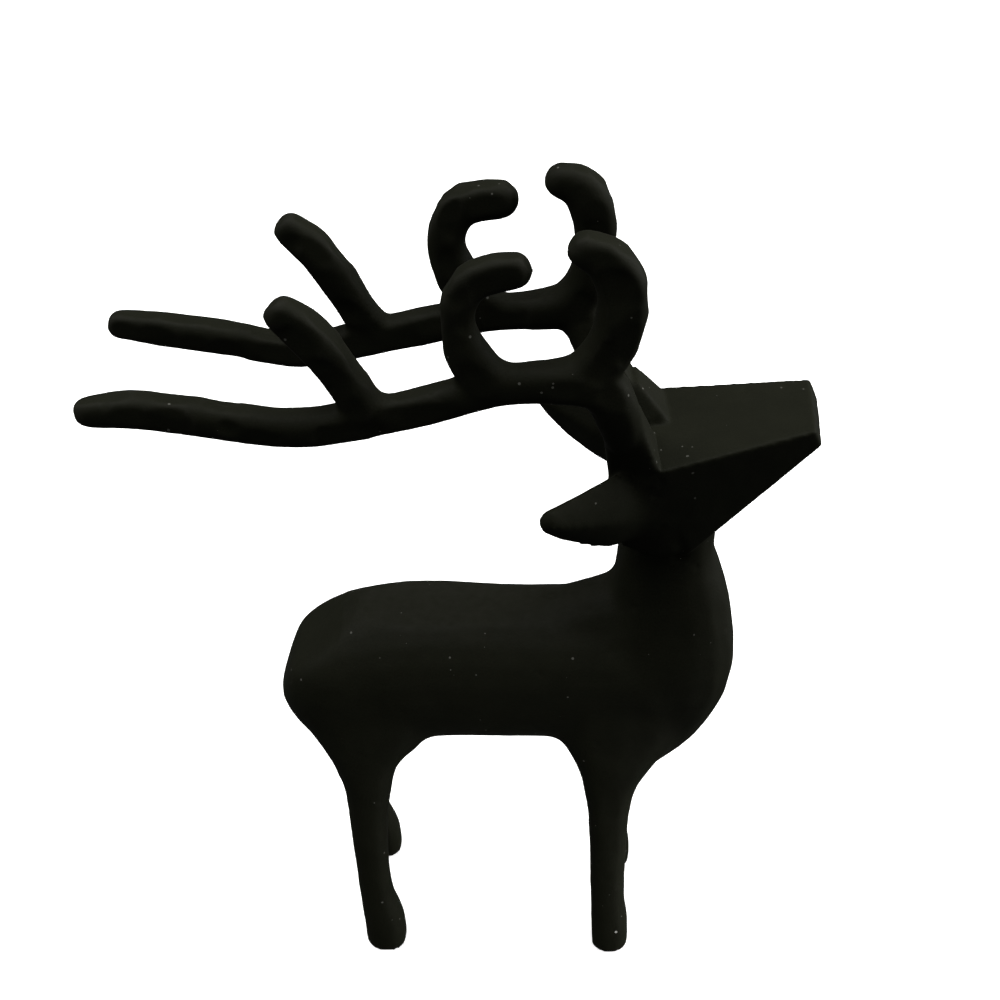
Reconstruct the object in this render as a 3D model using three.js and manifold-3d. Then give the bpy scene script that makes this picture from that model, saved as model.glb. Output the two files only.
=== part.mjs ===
// A stag cast in one piece of iron: a barrel body on four straight legs, an upright neck, a wedge
// head with its muzzle raised, leaf ears, and a pair of antlers swept back over the rump.
// Millimetres, +X towards the muzzle, +Z up, hooves on Z = 0.

import * as THREE from "three";
import { ConvexGeometry } from "three/addons/geometries/ConvexGeometry.js";
import { mergeVertices } from "three/addons/utils/BufferGeometryUtils.js";
import Module from "manifold-3d";

// Barrel: where its two ends stand along X, the height of its middle, and its half sizes.
const RUMP = -60.5;
const SHOULDER = 40;
const BARREL_Z = 94;
const BARREL_DEEP = 21.5;
const BARREL_WIDE = 19;
const SADDLE_Z = 113.5; // the flat along the back
const CROUP_PLANES = [
  { point: [-47, 0, 106.4], facing: [-0.62, 0, 0.78] },
  { point: [-56.2, 0, 98.4], facing: [-0.93, 0, 0.36] },
];

// Neck, from the brisket up into the skull, with the chest as its swelling.
const NECK_X = 43.5;
const NECK_DEEP = 12;
const NECK_WIDE = 11;
const CHEST_DEEP = 18.9;
const CHEST_WIDE = 18.5;

// Head: a wedge with a flat forehead that climbs to the muzzle.
const BROW = { x: 36.5, z: 168.4, half: 20.3 };
const MUZZLE = { x: 76, z: 175.3, half: 12.9 };
const LIP = { x: 78.4, z: 170.2, half: 11.2 };
const JAW = { x: 47.7, z: 139.7, half: 12.6 };
const CHEEK = { x: 39.5, z: 138.8, half: 13 };
const NAPE = { x: 30.2, z: 142, half: 12.6 };
const CROWN = { x: 29, z: 162.5, half: 16 };
const MUZZLE_SKEW = 1.6; // how far the muzzle's left corner stands ahead of its middle

// Pedicles: flat-fronted posts that spread from the crown in a V and carry the antlers. Each has its front
// and rear foot on the crown and its head under the antler, with the distances from the mid-plane of the
// inner and outer edges.
const FRONT_FOOT = { x: 37, z: 168.8, inner: 1, outer: 20 };
const REAR_FOOT = { x: 26.8, z: 161, inner: 1, outer: 14 };
const FRONT_HEAD = { x: 30.5, z: 186.5, inner: 14, outer: 21.5 };
const REAR_HEAD = { x: 23.3, z: 183.5, inner: 14.5, outer: 21 };
// The left pedicle also has a buttress, which runs out on to the forehead.
const BUTTRESS_FOOT = { x: 42.4, z: 168.8, inner: 0, outer: 17 };
const BUTTRESS_HEAD = { x: 33.8, z: 177.4, inner: 6.5, outer: 16 };

// Ears, leaves that point back and outwards: half sizes of the blade, and the half height of each root.
const EAR_HEIGHT = 10.5;
const EAR_THICK = 5;
const LEFT_EAR_ROOT = 9.7;
const RIGHT_EAR_ROOT = 11.5;
const LEFT_EAR_LIFT = 2.8; // the left ear is held this much higher

// Antlers, each in an upright plane beside the skull.
const ANTLER_Y = 22;
const BROW_TINE_Y = 21;
const ANTLER_POWER = 4; // nearer to square than to round
const BEAM = 3.95;
const BROW_TINE = 5.2;
const TINE = 4.2;
const TIP = 3.6;
const LEFT_SAG = 2; // how much lower the left beam hangs
const LEFT_SET_BACK = 3.6; // how far the left antler stands behind the right one

// Legs: the shank's and the hoof's half thickness, and where the hooves stand.
const SHANK = 4.5;
const HOOF = 5.6;
const HIP_Z = 90; // where all four legs start, inside the barrel
const BURIED = -6; // where they end, under the plane that cuts the hooves flat
const HIND_HOOF = { x: -34, y: 18.2 };
const FORE_HOOF = { x: 32.8, y: 16 };
const FORE_SHIFT = -3; // both forelegs stand a little to the right
const HIND_STEP = -3.6; // the left hind hoof stands further back
const FORE_STEP = 2.8; // the left fore hoof stands further forward

const RIGHT = -1;
const LEFT = 1;
const SIDEWAYS = new THREE.Vector3(0, 1, 0);
const UPRIGHT = new THREE.Vector3(0, 0, 1);
const BLOCK = 400; // edge of the blocks that cut flat planes

const wasm = await Module();
wasm.setup();

// A closed three.js geometry as a solid that can be joined and cut.
function solid(geometry) {
  geometry.deleteAttribute("normal");
  geometry.deleteAttribute("uv");
  const merged = mergeVertices(geometry, 1e-4);
  const corners = merged.index.array;
  const triangles = [];
  for (let i = 0; i < corners.length; i += 3) {
    const [a, b, c] = corners.slice(i, i + 3);
    if (a !== b && b !== c && c !== a) triangles.push(a, b, c);
  }
  return new wasm.Manifold(
    new wasm.Mesh({
      numProp: 3,
      vertProperties: new Float32Array(merged.attributes.position.array),
      triVerts: new Uint32Array(triangles),
    }),
  );
}

// One place on a limb's middle line, with the half sizes of the section there.
function station(x, y, z, deep, wide) {
  return { at: new THREE.Vector3(x, y, z), size: new THREE.Vector3(deep, wide, 0) };
}

// A capsule bent along its stations. Its section is a superellipse, wide along `across`: power 2 is
// an ellipse, less is a leaf with ridges, more is a rounded box.
function limb(stations, { sides = 12, rings = 16, caps = 4, power = 2, across = SIDEWAYS, ends = 1 } = {}) {
  const spine = new THREE.CatmullRomCurve3(stations.map((s) => s.at));
  const girth = new THREE.CatmullRomCurve3(stations.map((s) => s.size));
  const capsule = new THREE.CapsuleGeometry(1, 1, caps, sides, rings);
  const places = capsule.attributes.position;
  const place = new THREE.Vector3();
  for (let i = 0; i < places.count; i++) {
    place.fromBufferAttribute(places, i);
    const along = THREE.MathUtils.clamp(place.y, -0.5, 0.5);
    const beyond = place.y - along;
    const tangent = spine.getTangent(along + 0.5);
    const wideways = across.clone().addScaledVector(tangent, -across.dot(tangent)).normalize();
    const deepways = tangent.clone().cross(wideways);
    const size = girth.getPoint(along + 0.5);
    const round = Math.hypot(place.x, place.z);
    const norm = Math.pow(Math.abs(place.x) ** power + Math.abs(place.z) ** power, 1 / power);
    const swell = norm > 1e-9 ? round / norm : 1;
    const point = spine
      .getPoint(along + 0.5)
      .addScaledVector(deepways, place.x * swell * size.x)
      .addScaledVector(wideways, place.z * swell * size.y)
      .addScaledVector(tangent, beyond * ends * Math.min(size.x, size.y));
    places.setXYZ(i, point.x, point.y, point.z);
  }
  return solid(capsule);
}

// Slices off everything beyond a plane through a point.
function planed(shape, point, normal) {
  const facing = new THREE.Vector3(...normal).normalize();
  const block = new THREE.BoxGeometry(BLOCK, BLOCK, BLOCK);
  block.translate(0, 0, BLOCK / 2);
  block.applyQuaternion(new THREE.Quaternion().setFromUnitVectors(UPRIGHT, facing));
  block.translate(...point);
  return shape.subtract(solid(block));
}

function body() {
  let barrel = limb(
    [
      station(RUMP + 17, 0, BARREL_Z - 3, BARREL_DEEP - 1, BARREL_WIDE - 0.5),
      station(-24, 0, BARREL_Z + 0.5, BARREL_DEEP, BARREL_WIDE),
      station(6, 0, BARREL_Z, BARREL_DEEP - 0.5, BARREL_WIDE - 0.5),
      station(SHOULDER, 0, BARREL_Z, BARREL_DEEP, BARREL_WIDE),
    ],
    { sides: 24, rings: 12, caps: 6, power: 2.2, ends: 0.95 },
  );
  barrel = planed(barrel, [0, 0, SADDLE_Z], [0, 0, 1]);
  for (const { point, facing } of CROUP_PLANES) barrel = planed(barrel, point, facing);
  const neckAndChest = limb(
    [
      station(NECK_X + 1, 0, 152, NECK_DEEP - 1, NECK_WIDE),
      station(NECK_X - 0.4, 0, 134, NECK_DEEP - 0.2, NECK_WIDE + 0.5),
      station(NECK_X + 1.5, 0, 117, NECK_DEEP + 3.5, NECK_WIDE + 4),
      station(NECK_X + 0.5, 0, 98, CHEST_DEEP, CHEST_WIDE),
      station(NECK_X - 4, 0, 82, CHEST_DEEP - 1.5, CHEST_WIDE - 2),
      station(NECK_X - 9, 0, 69, CHEST_DEEP - 6.5, CHEST_WIDE - 5),
    ],
    { sides: 20, rings: 16, power: 2.8 },
  );
  const withers = limb(
    [station(-5, 0, 96.4, NECK_DEEP, NECK_DEEP), station(38, 0, 111.6, NECK_DEEP, NECK_DEEP)],
    { sides: 16, rings: 6, caps: 3 },
  );
  return barrel.add(neckAndChest).add(withers);
}

function head() {
  const corners = [];
  for (const side of [RIGHT, LEFT]) {
    const lead = side * MUZZLE_SKEW;
    const corner = (place, ahead = 0) => new THREE.Vector3(place.x + ahead, side * place.half, place.z);
    corners.push(corner(BROW), corner(MUZZLE, lead), corner(LIP, lead));
    corners.push(corner(JAW), corner(CHEEK), corner(NAPE), corner(CROWN));
  }
  return solid(new ConvexGeometry(corners));
}

function ear(side) {
  const lift = side === LEFT ? LEFT_EAR_LIFT : 0;
  const root = side === LEFT ? LEFT_EAR_ROOT : RIGHT_EAR_ROOT;
  return limb(
    [
      station(36, side * 11.5, 154.6 + lift, root, EAR_THICK),
      station(28, side * 17, 156 + lift, root, EAR_THICK),
      station(19.1, side * 23, 157.9 + lift, EAR_HEIGHT * 0.73, EAR_THICK * 0.81),
      station(14.5, side * 26, 159 + lift, EAR_HEIGHT * 0.5, EAR_THICK * 0.675),
      station(12, side * 27.6, 159.8 + lift, EAR_HEIGHT * 0.34, EAR_THICK * 0.54),
    ],
    { sides: 12, rings: 12, power: 1.2 },
  );
}

function hindLeg(side) {
  const step = side === LEFT ? HIND_STEP : 0;
  const y = side * HIND_HOOF.y;
  return limb(
    [
      station(-35, y * 0.5, HIP_Z, 21, 9.5),
      station(-36.6, y * 0.58, 77.5, 15.4, 9),
      station(-37.2, y * 0.65, 70.5, 10.2, 8),
      station(-37 + step * 0.4, y * 0.74, 62, 6.6, 6.2),
      station(-37.4 + step * 0.8, y * 0.82, 48, 5.1, 5),
      station(-37.1 + step * 0.9, y * 0.9, 33, SHANK, SHANK),
      station(-36.4 + step, y * 0.94, 20, SHANK, SHANK),
      station(HIND_HOOF.x - 0.4 + step, y * 0.98, 7.5, HOOF + 0.1, HOOF * 0.95),
      station(HIND_HOOF.x + step, y, BURIED, HOOF, HOOF * 0.95),
    ],
    { rings: 22, power: 2.8 },
  );
}

function foreLeg(side) {
  const step = side === LEFT ? FORE_STEP : 0;
  const y = side * FORE_HOOF.y + FORE_SHIFT;
  return limb(
    [
      station(33, y * 0.5, HIP_Z, 20, 9.5),
      station(31.8, y * 0.6, 77.5, 16, 9),
      station(31.2, y * 0.7, 70, 10.8, 8),
      station(30.6 + step * 0.3, y * 0.78, 62.5, 7.2, 6.4),
      station(30.7 + step * 0.6, y * 0.85, 52, 5.5, 5.2),
      station(31.2 + step * 0.8, y * 0.91, 34, SHANK + 0.3, SHANK),
      station(31.7 + step * 0.9, y * 0.95, 18, SHANK + 0.2, SHANK),
      station(FORE_HOOF.x - 0.2 + step, y * 0.98, 8, HOOF - 0.3, HOOF * 0.9),
      station(FORE_HOOF.x + step, y, BURIED, HOOF - 0.4, HOOF * 0.95),
    ],
    { rings: 22, power: 2.8 },
  );
}

function pedicle(side) {
  const edge = ({ x, z, inner, outer }, ahead = 0) =>
    [inner, outer].map((y) => new THREE.Vector3(x + ahead, side * y, z));
  const shift = side === LEFT ? -LEFT_SET_BACK : 0;
  const post = [edge(FRONT_FOOT), edge(REAR_FOOT), edge(FRONT_HEAD, shift), edge(REAR_HEAD, shift)].flat();
  const shape = solid(new ConvexGeometry(post));
  if (side === RIGHT) return shape;
  const buttress = [edge(BUTTRESS_FOOT), edge(BUTTRESS_HEAD), edge(REAR_FOOT)].flat();
  return shape.add(solid(new ConvexGeometry(buttress)));
}

function antler(side) {
  const shift = side === LEFT ? -LEFT_SET_BACK : 0;
  const sag = side === LEFT ? LEFT_SAG : 0;
  const at = (x, z, radius, y = ANTLER_Y) => station(x + shift, side * y, z, radius, radius);
  const beam = limb(
    [
      at(28.6, 177, 4.2, 17),
      at(26.2 - sag * 0.3, 185.5, 5, 20),
      at(22.3, 192.4 - sag * 0.9, 5.1, 21.5),
      at(13.3, 193.7 - sag * 1.9, 4.4),
      at(0, 192.7 - sag * 2, BEAM),
      at(-15.7, 187.9 - sag * 1.3, BEAM + sag * 0.1),
      at(-31.7, 184 - sag * 1.2, BEAM + 0.1),
      at(-47, 181.7 - sag * 1.6, BEAM),
      at(-67.7, 184.6 - sag * 1.1, BEAM),
      at(-83, 186.6 - sag, BEAM - 0.1),
      at(-92.7 + sag * 0.4, 186 - sag * 0.1, TIP - 0.3),
    ],
    { rings: 32, caps: 3, power: ANTLER_POWER },
  );
  const browTine = limb(
    [
      at(11.5, 193.2 - sag * 1.6, TINE, BROW_TINE_Y),
      at(18 + sag * 0.5, 194.5 - sag * 1.6, BROW_TINE - 0.4 - sag * 0.1, BROW_TINE_Y),
      at(23.4 + sag * 0.7, 200.2 - sag * 1.6, BROW_TINE - 0.2, BROW_TINE_Y),
      at(26.3 + sag * 0.25, 208.4, BROW_TINE - sag * 0.15, BROW_TINE_Y),
      at(26.2 - sag * 0.05, 216.8, BROW_TINE + 0.2, BROW_TINE_Y),
      at(22.4, 222.8 - sag * 0.2, BROW_TINE - 0.6, BROW_TINE_Y),
      at(17.9, 225 - sag * 0.5, TIP + 0.1, BROW_TINE_Y),
    ],
    { rings: 15, power: ANTLER_POWER },
  );
  const middleTine = limb(
    [
      at(3.5, 193 - sag * 1.6, BEAM - 0.2),
      at(-2.6, 194.6 - sag * 0.8, TINE + 0.4),
      at(-6.4 - sag * 0.3, 199.4, TINE + 0.4 + sag * 0.2),
      at(-9.5, 207, TINE - 0.3 + sag * 0.2),
      at(-9 + sag * 0.2, 213.7 - sag * 0.1, TINE - 0.3 + sag * 0.3),
      at(-5.3, 218.6 - sag * 0.5, TINE - 0.3 + sag * 0.3),
      at(3.2 + sag * 0.3, 220.6 - sag * 0.8, TIP + sag * 0.3),
    ],
    { rings: 13, power: ANTLER_POWER },
  );
  const rearTine = limb(
    [
      at(-29.6, 186, TINE + 0.2),
      at(-32, 190, TINE),
      at(-35.8, 197.4, TINE + 0.2),
      at(-41.4, 205.2 + sag * 0.3, TINE + 0.3),
      at(-47.2, 210.4 + sag * 0.4, TIP + 0.1),
    ],
    { rings: 11, power: ANTLER_POWER },
  );
  return beam.add(browTine).add(middleTine).add(rearTine);
}

let stag = body().add(head());
for (const side of [RIGHT, LEFT]) {
  for (const limbOn of [hindLeg, foreLeg, ear, pedicle, antler]) stag = stag.add(limbOn(side));
}
stag = planed(stag, [0, 0, 0], [0, 0, -1]);

const { vertProperties, triVerts } = stag.getMesh();
const geometry = new THREE.BufferGeometry();
geometry.setAttribute("position", new THREE.BufferAttribute(vertProperties, 3));
geometry.setIndex(new THREE.BufferAttribute(triVerts, 1));
geometry.computeBoundingBox();
const middle = geometry.boundingBox.getCenter(new THREE.Vector3());
geometry.translate(-middle.x, -middle.y, 0);
geometry.computeVertexNormals();

const blackIron = new THREE.MeshStandardMaterial({ color: 0x1c1b18, roughness: 0.75, metalness: 0.6 });
const statue = new THREE.Mesh(geometry, blackIron);
statue.name = "stag";

const group = new THREE.Group();
group.add(statue);

export default group;
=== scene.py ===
"""A stag cast in one piece of iron and finished matte black, on a white floor under soft studio light.

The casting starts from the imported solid. Its skin is remade as an even net of small faces, the inside
corners fill up as they do in a sand mould, the carver's knife leaves flats on the limbs, and the sand
leaves lumps and pits.
"""
import math
import random

import bmesh
import bpy
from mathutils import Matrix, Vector, kdtree, noise


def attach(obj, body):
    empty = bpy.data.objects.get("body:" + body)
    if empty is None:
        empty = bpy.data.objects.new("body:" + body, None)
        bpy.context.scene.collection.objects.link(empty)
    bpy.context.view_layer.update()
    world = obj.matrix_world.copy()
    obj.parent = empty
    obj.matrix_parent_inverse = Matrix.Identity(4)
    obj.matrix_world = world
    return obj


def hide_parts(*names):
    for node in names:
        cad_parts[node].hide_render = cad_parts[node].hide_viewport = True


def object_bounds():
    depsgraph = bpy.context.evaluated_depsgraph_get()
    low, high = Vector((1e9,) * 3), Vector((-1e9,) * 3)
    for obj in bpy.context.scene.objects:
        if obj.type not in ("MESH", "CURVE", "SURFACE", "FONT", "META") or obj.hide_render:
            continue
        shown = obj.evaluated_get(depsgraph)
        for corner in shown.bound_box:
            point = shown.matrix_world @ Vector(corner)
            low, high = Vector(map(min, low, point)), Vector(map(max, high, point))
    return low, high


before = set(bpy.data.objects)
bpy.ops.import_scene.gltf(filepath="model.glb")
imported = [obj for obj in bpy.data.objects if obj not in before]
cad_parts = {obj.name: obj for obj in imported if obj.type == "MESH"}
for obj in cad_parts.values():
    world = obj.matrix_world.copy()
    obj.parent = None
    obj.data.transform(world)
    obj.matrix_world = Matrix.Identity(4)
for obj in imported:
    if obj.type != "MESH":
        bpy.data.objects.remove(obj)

CAD_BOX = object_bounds()
MM = 0.001
SEED = 7

# The skin: how close corners are merged, the size of its faces, the passes that take off the stairs of
# remaking it, how often the hollows are found and filled, the inward bend that counts as a hollow, how much
# smoothing takes off the outside and is put back, and the triangles that are left
MERGE = 0.01 * MM
FACE = 0.7 * MM
STAIRS_PASSES = 4
FILL_ROUNDS = 8
HOLLOW = 0.0025 * MM
SWELL = 0.4 * MM
TRIANGLES = 190_000

# Where the stag's parts meet. The stance's middle is 80 mm behind the tip of the muzzle.
STANCE_X = CAD_BOX[1][0] - 80 * MM
LEG_TOP = 66 * MM
HEAD_BOTTOM = 136 * MM
RUMP_FRONT = STANCE_X - 42 * MM
EAR_BOTTOM = 143 * MM
EAR_INSIDE = 11 * MM
CROWN_BOTTOM = 164 * MM
CROWN_FRONT = STANCE_X + 44 * MM
CROWN_BACK = STANCE_X + 22 * MM
ANTLER_BOTTOM = 172 * MM
PEDICLE_TOP = 188 * MM

# How each part is finished: passes that fill its inside corners, passes that smooth all of it, then the
# carver's strokes, how many mm each reaches, how many mm deep it goes, how strongly it follows the part's
# four sides, and the passes that dull its edges
FINISH = {
    "antler": {"fill": 12, "passes": 3, "strokes": 900, "reach": 5, "depth": 0.28, "square": 0.9, "dull": 2},
    "crown": {"fill": 0, "passes": 1, "strokes": 0, "reach": 0, "depth": 0, "square": 0, "dull": 0},
    "head": {"fill": 3, "passes": 2, "strokes": 50, "reach": 6, "depth": 0.06, "square": 0, "dull": 1},
    "ear": {"fill": 16, "passes": 1, "strokes": 30, "reach": 6, "depth": 0.12, "square": 0, "dull": 1},
    "body": {"fill": 20, "passes": 12, "strokes": 120, "reach": 11, "depth": 0.08, "square": 0, "dull": 2},
    "rump": {"fill": 20, "passes": 60, "strokes": 40, "reach": 11, "depth": 0.08, "square": 0, "dull": 2},
    "leg": {"fill": 20, "passes": 5, "strokes": 200, "reach": 8, "depth": 0.12, "square": 0.8, "dull": 2},
}
STROKE_TILT = 0.06
STROKE_REACH = (0.7, 1.3)
STROKE_DEPTH = (0.5, 1.3)

# The head's wedge: the least area of its flat faces, where only the wedge is left ahead, how alike two
# faces of one plane are and how far the muzzle may stand out of a plane, the rounds that find the nearest
# place inside the planes, the radius of the edges, and how far the skin may be from the wedge and still
# belong to it
WEDGE_FACE = 20 * MM ** 2
WEDGE_BACK = STANCE_X + 34 * MM
MUZZLE_BACK = STANCE_X + 45 * MM
SAME_PLANE = 0.9999
PLANE_SLACK = 0.05 * MM
WEDGE_ROUNDS = 6
WEDGE_EDGE = 0.5 * MM
WEDGE_REACH = (0.7 * MM, 1.4 * MM)

# The cheek, where the wedge runs out into the root of the ear
CHEEK_BACK = STANCE_X + 29 * MM
CHEEK_PASSES = 30

# Relief that the sand leaves. A tool or a grain of sand works only on skin that faces much the same way.
LUMPS = [(7 * MM, 0.1 * MM), (2.4 * MM, 0.05 * MM)]
PITS = 200
PIT_REACH = (0.7 * MM, 1.3 * MM)
PIT_DEPTH = (0.1 * MM, 0.3 * MM)
SAME_SIDE = 0.3
SOLE = 0.3 * MM

# Bends at which an outside edge starts to look rubbed and is fully rubbed, and how strongly the body's
# upward-facing skin is painted paler as painted light from above
RUBBED = (0.022 * MM, 0.07 * MM)
PAINTED_BACK_LIGHT = 0.8

# Pale specks, which gather in patches, and the chip that shows bare metal on the right fore hoof
SPECK_SPACING = 3.2 * MM
SPECK_RADIUS = 0.35 * MM
SPECK_PATCH = 16 * MM
CHIP = Vector((STANCE_X + 34.4 * MM, -23.6 * MM, 8.7 * MM))
CHIP_RADIUS = 0.4 * MM

# Sizes of the patches in the black skin's tone, in its rub and painted back light, and in its gloss.
# Moulding sand is 0.2 mm across; it is drawn at 0.45 mm so that it shows.
TONE_PATCH = 9 * MM
RUB_AND_BACK_LIGHT_PATCH = 3 * MM
GLOSS_PATCH = 4 * MM
SAND_GRAIN = 0.45 * MM
SAND_HEIGHT = 0.12 * MM

# Studio: the floor, just under the soles, and a white card that throws floor light on the near legs
FLOOR_REACH = 6
FLOOR_SIDES = 96
FLOOR_GAP = 0.2 * MM
FLOOR_GLOW = 0.6
CARD_PLACE = Vector((STANCE_X + 120 * MM, -130 * MM, 4 * MM))
CARD_AIM = Vector((STANCE_X - 34 * MM, -18 * MM, 25 * MM))
CARD_SIZE = 120 * MM
CARD_POWER = 0.04
CARD_SPREAD = math.radians(60)

# Each large light's name, where it stands, how many degrees wide it is and its power, and the room's light
LIGHTS = [
    ("overhead", (0.05, 0.05, 1), 55, 2.5),
    ("front", (1, 0.15, 0.4), 40, 3.6),
    ("rear", (-0.8, 0, 1), 50, 1.9),
]
ROOM_LIGHT = 0.09

# Camera: where it stands, how far it looks down, and its lens
CAMERA_PLACE = Vector((STANCE_X, -290.66 * MM, 343.22 * MM))
LOOK_DOWN = math.radians(34)
SENSOR = 36
LENS = 49.64
NEAREST = 0.01


def linear(hex_colour):
    """An sRGB hex colour as linear red, green, blue and alpha."""
    channels = [int(hex_colour[i:i + 2], 16) / 255 for i in (1, 3, 5)]
    curve = [c / 12.92 if c <= 0.04045 else ((c + 0.055) / 1.055) ** 2.4 for c in channels]
    return (*curve, 1.0)


def add(tree, kind, inputs=None, **settings):
    """Adds a node with its settings. Each input gets a value, or the output socket that feeds it."""
    node = tree.nodes.new(kind)
    for name, value in settings.items():
        setattr(node, name, value)
    for socket, value in (inputs or {}).items():
        if isinstance(value, bpy.types.NodeSocket):
            tree.links.new(value, node.inputs[socket])
        else:
            node.inputs[socket].default_value = value
    return node


def even_skin():
    """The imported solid's skin, remade as an even net of small faces."""
    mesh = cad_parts["stag"].data.copy()
    bm = bmesh.new()
    bm.from_mesh(mesh)
    bmesh.ops.remove_doubles(bm, verts=bm.verts, dist=MERGE)
    bm.to_mesh(mesh)
    bm.free()
    casting = bpy.data.objects.new("stag_casting", mesh)
    bpy.context.scene.collection.objects.link(casting)
    remesh = casting.modifiers.new("even_skin", "REMESH")
    remesh.mode = "VOXEL"
    remesh.voxel_size = FACE
    evaluated = casting.evaluated_get(bpy.context.evaluated_depsgraph_get())
    casting.data = bpy.data.meshes.new_from_object(evaluated)
    casting.modifiers.clear()
    return casting


def thin_out(casting, share):
    """Joins faces where the skin is nearly flat, until only this share of them is left."""
    thin = casting.modifiers.new("thin_out", "DECIMATE")
    thin.ratio = share
    evaluated = casting.evaluated_get(bpy.context.evaluated_depsgraph_get())
    casting.data = bpy.data.meshes.new_from_object(evaluated)
    casting.modifiers.clear()


def part_at(place):
    """The part of the stag that a place on its skin belongs to."""
    if place.z < LEG_TOP:
        return "leg"
    if place.z < HEAD_BOTTOM:
        return "rump" if place.x < RUMP_FRONT else "body"
    if place.z > PEDICLE_TOP or (place.z > ANTLER_BOTTOM and place.x < CROWN_BACK):
        return "antler"
    if place.z > CROWN_BOTTOM and CROWN_BACK < place.x < CROWN_FRONT:
        return "crown"
    if place.z > EAR_BOTTOM and place.x < CROWN_FRONT and abs(place.y) > EAR_INSIDE:
        return "ear"
    return "head"


def bulge(vert):
    """How far a vertex stands out beyond the middle of its neighbours. In a hollow it is below zero."""
    ring = [edge.other_vert(vert).co for edge in vert.link_edges]
    middle = sum(ring, Vector()) / len(ring)
    return (vert.co - middle).dot(vert.normal)


def share_between(value, low, high):
    """How far a value is on the way from low to high, held between 0 and 1."""
    return min(max((value - low) / (high - low), 0), 1)


def smooth(bm, verts, passes):
    """Moves each vertex half way to the middle of its neighbours, this many times."""
    for _ in range(passes):
        bmesh.ops.smooth_vert(
            bm, verts=verts, factor=0.5, use_axis_x=True, use_axis_y=True, use_axis_z=True
        )


def fill_creases(bm, parts):
    """Rounds the inside corners, where the sand of a mould crumbles and iron fills in."""
    for _ in range(FILL_ROUNDS):
        bm.normal_update()
        for name, finish in FINISH.items():
            hollows = [vert for vert in parts[name] if bulge(vert) < -HOLLOW] if finish["fill"] else []
            smooth(bm, hollows, finish["fill"])


def wedge_planes():
    """The flat faces of the head's wedge, each as the way it faces and its distance from the origin."""
    bm = bmesh.new()
    bm.from_mesh(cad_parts["stag"].data)
    bm.normal_update()
    large = [
        face for face in bm.faces
        if face.calc_area() > WEDGE_FACE and min(v.co.z for v in face.verts) > HEAD_BOTTOM
        and max(v.co.x for v in face.verts) > WEDGE_BACK
    ]
    muzzle = [vert.co for face in large for vert in face.verts if vert.co.x > MUZZLE_BACK]
    planes = []
    for face in large:
        facing = face.normal.copy()
        distance = facing.dot(face.verts[0].co)
        known = any(facing.dot(other) > SAME_PLANE for other, _ in planes)
        if not known and all(facing.dot(place) < distance + PLANE_SLACK for place in muzzle):
            planes.append((facing, distance))
    bm.free()
    return planes


def true_wedge(verts):
    """Brings the head's skin back to the wedge's flat faces, with evenly rounded edges between them."""
    planes = wedge_planes()
    near, far = WEDGE_REACH
    for vert in verts:
        if vert.co.x < WEDGE_BACK:
            continue
        core = vert.co.copy()
        for _ in range(WEDGE_ROUNDS):
            for facing, distance in planes:
                core -= facing * max(core.dot(facing) - distance + WEDGE_EDGE, 0)
        away = vert.co - core
        if away.length == 0:
            continue
        target = core + away.normalized() * WEDGE_EDGE
        miss = (target - vert.co).length
        vert.co = vert.co.lerp(target, share_between(-miss, -far, -near))


def neighbourhood(bm):
    """A tree that finds the vertices near a place."""
    tree = kdtree.KDTree(len(bm.verts))
    for vert in bm.verts:
        tree.insert(vert.co, vert.index)
    tree.balance()
    return tree


def pare(bm, tree, start, facing, reach, depth):
    """One stroke of the knife: a shallow dish that takes off what stands above it. A stroke that would run
    into a neighbouring limb isn't made."""
    cut = []
    for _, index, _ in tree.find_range(start, reach):
        vert = bm.verts[index]
        if vert.normal.dot(facing) < SAME_SIDE:
            continue
        away = vert.co - start
        height = away.dot(facing)
        if height > 2 * depth:
            return
        aside = (away - facing * height).length
        over = height + depth * (1 - (aside / reach) ** 2)
        if over > 0:
            cut.append((vert, over))
    for vert, over in cut:
        vert.co -= facing * over


def carve(bm, parts, chance):
    """The flats that carving left on the pattern that the mould was made from."""
    tree = neighbourhood(bm)
    bm.normal_update()
    for name, finish in FINISH.items():
        for _ in range(finish["strokes"]):
            vert = chance.choice(parts[name])
            side = vert.normal.copy()
            if abs(side.y) > max(abs(side.x), abs(side.z)):
                side = Vector((0, side.y, 0))
            else:
                side.y = 0
            facing = vert.normal.lerp(side.normalized(), finish["square"])
            facing += Vector([chance.gauss(0, STROKE_TILT) for _ in range(3)])
            reach = finish["reach"] * MM * chance.uniform(*STROKE_REACH)
            depth = finish["depth"] * MM * chance.uniform(*STROKE_DEPTH)
            pare(bm, tree, vert.co.copy(), facing.normalized(), reach, depth)


def sand_relief(bm, chance):
    """Low lumps all over and a scatter of pits, as sand leaves them."""
    bm.normal_update()
    tree = neighbourhood(bm)
    for vert in bm.verts:
        rise = sum(noise.noise(vert.co / size) * height for size, height in LUMPS)
        vert.co += vert.normal * rise
    for _ in range(PITS):
        middle = chance.choice(bm.verts)
        reach = chance.uniform(*PIT_REACH)
        depth = chance.uniform(*PIT_DEPTH)
        facing = middle.normal.copy()
        for _, index, distance in tree.find_range(middle.co, reach):
            vert = bm.verts[index]
            if vert.normal.dot(facing) > SAME_SIDE:
                vert.co -= facing * depth * (1 - (distance / reach) ** 2)


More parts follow.
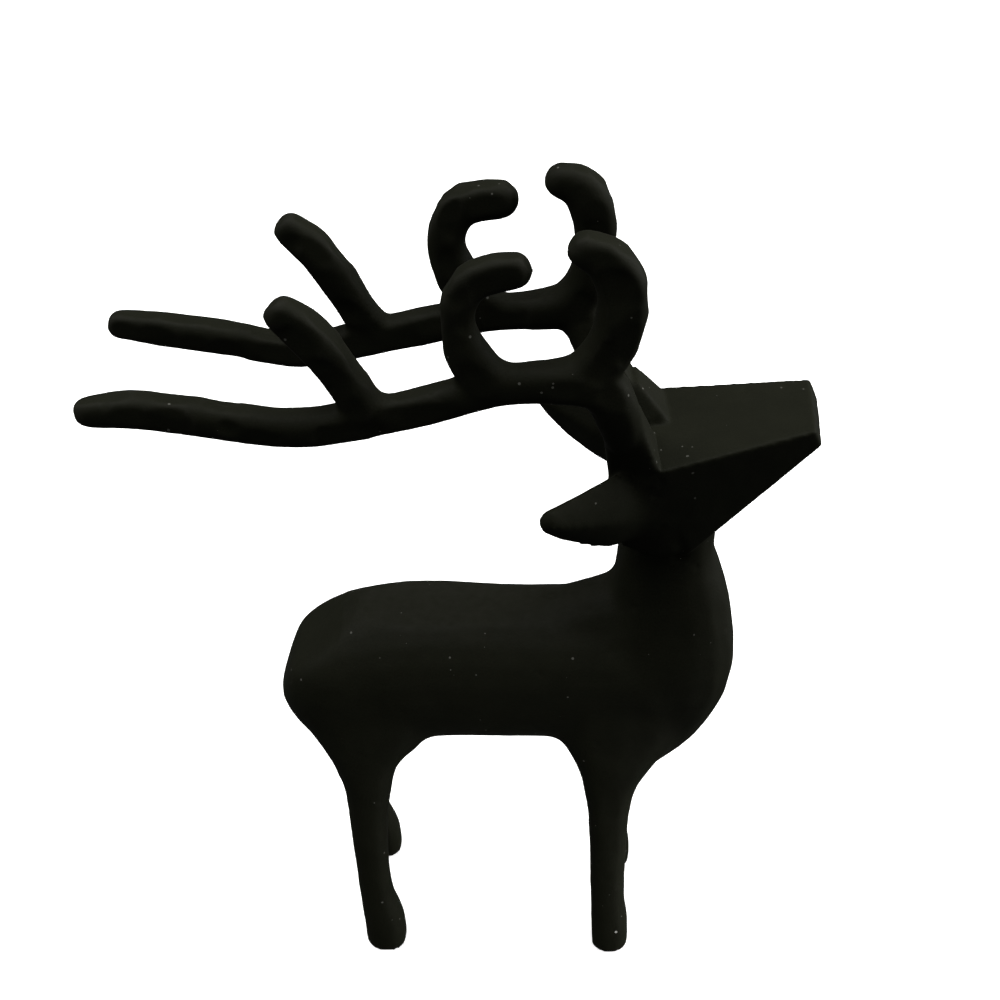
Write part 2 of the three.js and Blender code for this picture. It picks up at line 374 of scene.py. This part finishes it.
def mark_rub_and_painted_back_light(bm):
    """Stores how sharply the skin bends outwards, for the rub on edges, and how much the body's skin faces
    up, for the painted light from above on the back. The head and the ears get neither."""
    rub_and_painted_back_light = bm.verts.layers.float.new("rub_and_painted_back_light")
    bm.normal_update()
    for vert in bm.verts:
        part = part_at(vert.co)
        if part in ("head", "crown", "ear"):
            continue
        vert[rub_and_painted_back_light] = share_between(bulge(vert), *RUBBED)
        # The body's upward-facing skin is painted paler: painted light from above, kept in the same layer as
        # the edge rub
        if part == "body":
            vert[rub_and_painted_back_light] = max(vert[rub_and_painted_back_light], PAINTED_BACK_LIGHT * max(vert.normal.z, 0) ** 4)


def black_iron(chip):
    """Cast iron with a matte black skin. The eye sees a dull, slightly olive black that turns grey where a
    soft light falls on it, a fine sandy grain, edges rubbed a little paler, a back painted paler as painted
    light from above, and a few pale specks."""
    material = bpy.data.materials.new("blackened_cast_iron")
    material.use_nodes = True
    tree = material.node_tree
    shader = tree.nodes["Principled BSDF"]
    shader.inputs["Specular IOR Level"].default_value = 0.05
    place = add(tree, "ShaderNodeTexCoord").outputs["Object"]
    patches = {
        size: add(
            tree, "ShaderNodeTexNoise", {"Vector": place, "Scale": 1 / size, "Detail": detail}
        ).outputs["Fac"]
        for size, detail in (
            (TONE_PATCH, 2), (RUB_AND_BACK_LIGHT_PATCH, 2), (SPECK_PATCH, 2), (GLOSS_PATCH, 2), (SAND_GRAIN, 3)
        )
    }

    # The stored layer holds the rub on edges and the painted light on the upward-facing back
    rub_and_painted_back_light = add(tree, "ShaderNodeAttribute", attribute_name="rub_and_painted_back_light").outputs["Fac"]
    rub_and_painted_back_light_mask = add(
        tree, "ShaderNodeMath", {0: rub_and_painted_back_light, 1: patches[RUB_AND_BACK_LIGHT_PATCH]}, operation="MULTIPLY"
    ).outputs[0]
    spots = add(
        tree, "ShaderNodeTexVoronoi", {"Vector": place, "Scale": 1 / SPECK_SPACING}
    ).outputs["Distance"]
    size = add(
        tree, "ShaderNodeMapRange",
        {
            "Value": patches[SPECK_PATCH], "From Min": 0.47, "From Max": 0.62,
            "To Max": SPECK_RADIUS / SPECK_SPACING
        }
    ).outputs[0]
    speck = add(tree, "ShaderNodeMath", {0: spots, 1: size}, operation="LESS_THAN").outputs[0]
    far = add(tree, "ShaderNodeVectorMath", {0: place, 1: chip}, operation="DISTANCE").outputs["Value"]
    chipped = add(tree, "ShaderNodeMath", {0: far, 1: CHIP_RADIUS}, operation="LESS_THAN").outputs[0]

    tone = linear("#11120b")
    # 1f1f1a is the paler tone of rubbed edges and of the painted light on the upward-facing back
    for amount, colour in (
        (patches[TONE_PATCH], "#171810"), (rub_and_painted_back_light_mask, "#1f1f1a"), (speck, "#4c4c47"), (chipped, "#b4b4b0")
    ):
        tone = add(
            tree, "ShaderNodeMix", {"Factor": amount, 6: tone, 7: linear(colour)}, data_type="RGBA"
        ).outputs[2]
    tree.links.new(tone, shader.inputs["Base Color"])

    dull = add(
        tree, "ShaderNodeMapRange", {"Value": patches[GLOSS_PATCH], "To Min": 0.55, "To Max": 0.75}
    ).outputs[0]
    tree.links.new(dull, shader.inputs["Roughness"])
    sand = add(
        tree, "ShaderNodeBump",
        {"Strength": 0.35, "Distance": SAND_HEIGHT, "Height": patches[SAND_GRAIN]}
    ).outputs[0]
    tree.links.new(sand, shader.inputs["Normal"])
    return material


def stag():
    """The casting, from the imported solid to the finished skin."""
    chance = random.Random(SEED)
    casting = even_skin()
    bm = bmesh.new()
    bm.from_mesh(casting.data)
    bm.verts.ensure_lookup_table()
    parts = {name: [] for name in FINISH}
    for vert in bm.verts:
        parts[part_at(vert.co)].append(vert)
    smooth(bm, bm.verts, STAIRS_PASSES)
    fill_creases(bm, parts)
    for name, finish in FINISH.items():
        smooth(bm, parts[name], finish["passes"])
    bm.normal_update()
    for vert in bm.verts:
        vert.co += vert.normal * SWELL
    true_wedge(parts["head"] + parts["crown"] + parts["ear"])
    smooth(bm, [vert for vert in parts["ear"] if vert.co.x > CHEEK_BACK], CHEEK_PASSES)
    carve(bm, parts, chance)
    for name, finish in FINISH.items():
        smooth(bm, parts[name], finish["dull"])
    sand_relief(bm, chance)
    smooth(bm, bm.verts, 1)
    for vert in bm.verts:
        if vert.co.z < SOLE:
            vert.co.z = 0
    # The chip is found before the rub and the painted back light are stored, because a new layer ends the
    # use of the listed vertices
    chip = min((vert.co for vert in parts["leg"]), key=lambda place: (place - CHIP).length).copy()
    mark_rub_and_painted_back_light(bm)
    for face in bm.faces:
        face.smooth = True
    share = TRIANGLES / sum(len(face.verts) - 2 for face in bm.faces)
    bm.to_mesh(casting.data)
    bm.free()
    thin_out(casting, share)
    casting.data.materials.clear()
    casting.data.materials.append(black_iron(chip))
    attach(casting, "root")
    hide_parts("stag")
    return casting


def white_floor():
    """A round of white paper that glows a little, so that no shadow greys it, and throws no light itself."""
    paper = bpy.data.materials.new("white_paper")
    paper.use_nodes = True
    shader = paper.node_tree.nodes["Principled BSDF"]
    shader.inputs["Base Color"].default_value = linear("#f4f4f2")
    shader.inputs["Roughness"].default_value = 0.9
    shader.inputs["Emission Color"].default_value = linear("#ffffff")
    shader.inputs["Emission Strength"].default_value = FLOOR_GLOW
    mesh = bpy.data.meshes.new("floor")
    bm = bmesh.new()
    bmesh.ops.create_circle(bm, cap_ends=True, segments=FLOOR_SIDES, radius=FLOOR_REACH)
    bmesh.ops.translate(bm, verts=bm.verts, vec=(0, 0, -FLOOR_GAP))
    bm.to_mesh(mesh)
    bm.free()
    mesh.materials.append(paper)
    floor = bpy.data.objects.new("floor", mesh)
    bpy.context.scene.collection.objects.link(floor)
    floor.visible_diffuse = False
    floor.visible_glossy = False


def studio_light():
    """Three large soft lights, a white card that lights the near legs from low down, and a dim room that the
    camera sees as white."""
    glow = bpy.data.lights.new("white_card", "AREA")
    glow.shape = "DISK"
    glow.size = CARD_SIZE
    glow.energy = CARD_POWER
    glow.spread = CARD_SPREAD
    card = bpy.data.objects.new("white_card", glow)
    card.location = CARD_PLACE
    card.rotation_euler = (CARD_PLACE - CARD_AIM).to_track_quat("Z", "Y").to_euler()
    card.visible_camera = False
    bpy.context.scene.collection.objects.link(card)

    for name, towards, spread, power in LIGHTS:
        lamp = bpy.data.lights.new(name, "SUN")
        lamp.angle = math.radians(spread)
        lamp.energy = power
        light = bpy.data.objects.new(name, lamp)
        light.rotation_euler = Vector(towards).to_track_quat("Z", "Y").to_euler()
        bpy.context.scene.collection.objects.link(light)

    world = bpy.data.worlds.new("studio")
    bpy.context.scene.world = world
    world.use_nodes = True
    tree = world.node_tree
    seen = add(tree, "ShaderNodeLightPath").outputs["Is Camera Ray"]
    strength = add(
        tree, "ShaderNodeMapRange", {"Value": seen, "To Min": ROOM_LIGHT, "To Max": 1}
    ).outputs[0]
    background = tree.nodes["Background"]
    background.inputs["Color"].default_value = linear("#ffffff")
    tree.links.new(strength, background.inputs["Strength"])


def camera():
    """The photographer's camera, level from side to side and looking down on the stag's right side."""
    lens = bpy.data.cameras.new("camera")
    lens.sensor_width = SENSOR
    lens.lens = LENS
    lens.clip_start = NEAREST
    eye = bpy.data.objects.new("camera", lens)
    eye.location = CAMERA_PLACE
    eye.rotation_euler = (math.pi / 2 - LOOK_DOWN, 0, 0)
    bpy.context.scene.collection.objects.link(eye)
    bpy.context.scene.camera = eye


camera()
white_floor()
studio_light()
stag()
bpy.context.scene.view_settings.view_transform = "Standard"
